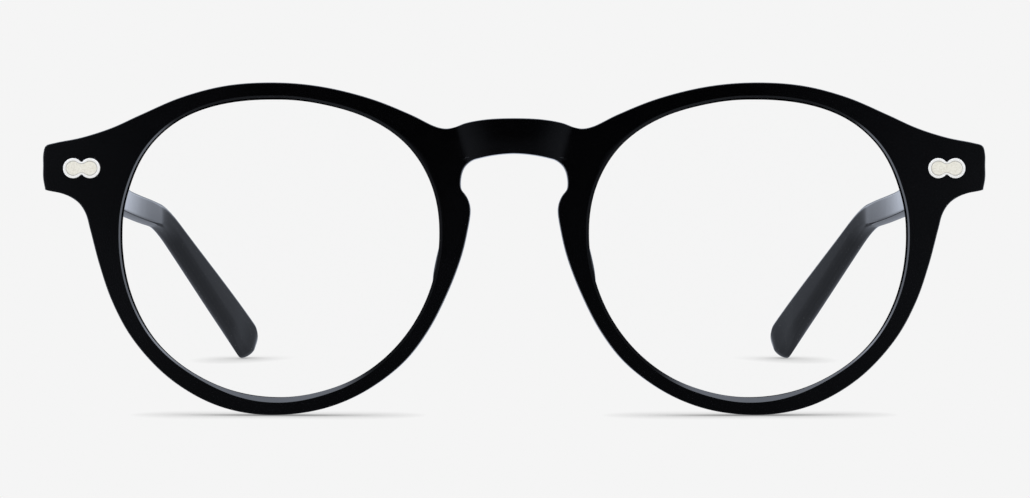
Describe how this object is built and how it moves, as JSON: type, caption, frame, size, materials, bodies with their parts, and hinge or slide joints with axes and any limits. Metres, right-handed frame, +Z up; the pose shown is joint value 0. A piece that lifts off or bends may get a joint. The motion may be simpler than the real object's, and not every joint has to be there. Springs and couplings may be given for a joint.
{
  "type": "round eyeglasses",
  "caption": "Black acetate eyeglasses with round lenses, a keyhole bridge, small metal plaques on the end pieces and temples that fold on riveted barrel hinges.",
  "frame": {"origin": "on the surface that the glasses stand on, open, under the middle of their box", "axes": "+Z up, the front faces -Y, the temples run back along +Y, +X is towards the wearer's left"},
  "size_m": [0.1384, 0.147, 0.0488],
  "materials": {
    "front": "polished black acetate",
    "lens": "clear polished lens",
    "nose_pad": "polished black acetate",
    "plaque": "polished rim round an ivory field",
    "front_leaf": "satin nickel silver",
    "hinge_screw": "satin steel",
    "temple_leaf": "satin nickel silver",
    "rivet": "polished steel",
    "temple": "polished black acetate",
    "core_wire": "drawn steel"
  },
  "bodies": {
    "frame_front": {"front": "front", "lens_left": "lens", "nose_pad_left": "nose_pad", "plaque_left": "plaque", "front_leaf_left": "front_leaf", "hinge_screw_left": "hinge_screw", "lens_right": "lens", "nose_pad_right": "nose_pad", "plaque_right": "plaque", "front_leaf_right": "front_leaf", "hinge_screw_right": "hinge_screw"},
    "left_temple": {"temple_left": "temple", "core_wire_left": "core_wire", "temple_leaf_left": "temple_leaf", "rivet_1_left": "rivet", "rivet_2_left": "rivet"},
    "right_temple": {"temple_right": "temple", "core_wire_right": "core_wire", "temple_leaf_right": "temple_leaf", "rivet_1_right": "rivet", "rivet_2_right": "rivet"}
  },
  "joints": [
    {"name": "temple_fold_left", "type": "hinge", "parent": "frame_front", "child": "left_temple", "pos_m": [0.06375, -0.06407, 0.03595], "axis": [0, 0.0414, 0.9991], "range_deg": [0, 84]},
    {"name": "temple_fold_right", "type": "hinge", "parent": "frame_front", "child": "right_temple", "pos_m": [-0.06375, -0.06407, 0.03595], "axis": [0, -0.0414, -0.9991], "range_deg": [0, 75]}
  ]
}
